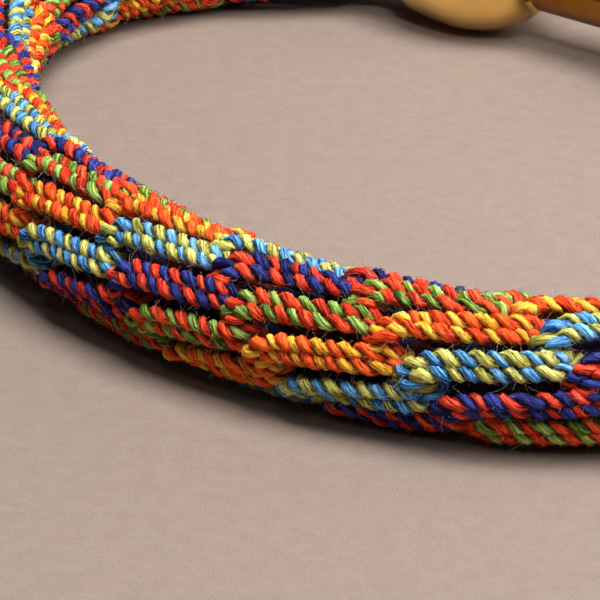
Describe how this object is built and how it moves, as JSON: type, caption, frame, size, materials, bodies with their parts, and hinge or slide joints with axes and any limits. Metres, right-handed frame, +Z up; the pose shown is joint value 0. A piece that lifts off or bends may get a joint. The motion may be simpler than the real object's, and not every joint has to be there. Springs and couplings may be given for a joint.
{
  "type": "braided cotton bracelet",
  "caption": "Braided multicoloured cotton bracelet lying as a closed oval, its ends held in brass caps joined by a plain barrel clasp.",
  "frame": {"origin": "under the middle of the oval, on the surface that the bracelet lies on", "axes": "+Z up through the wrist opening, +X to the right and +Y away from the viewer, with the clasp at the far right"},
  "size_m": [0.0619, 0.0732, 0.0094],
  "materials": {
    "cotton_orange": "twisted cotton yarn in red-orange and golden yellow, matt and slightly fuzzy",
    "cotton_blue": "twisted cotton yarn in light blue and pale lime, matt and slightly fuzzy",
    "cotton_navy": "twisted cotton yarn in violet blue and red, matt and slightly fuzzy",
    "cotton_green": "twisted cotton yarn in leaf green and rust red, matt and slightly fuzzy",
    "brass": "polished brass with fine scratches"
  },
  "bodies": {
    "root": {"strand_1": "cotton_orange", "strand_2": "cotton_blue", "strand_3": "cotton_navy", "strand_4": "cotton_green", "strand_5": "cotton_orange", "strand_6": "cotton_blue", "strand_7": "cotton_navy", "strand_8": "cotton_green", "end_cap_left": "brass", "end_cap_right": "brass", "clasp": "brass"}
  },
  "joints": []
}
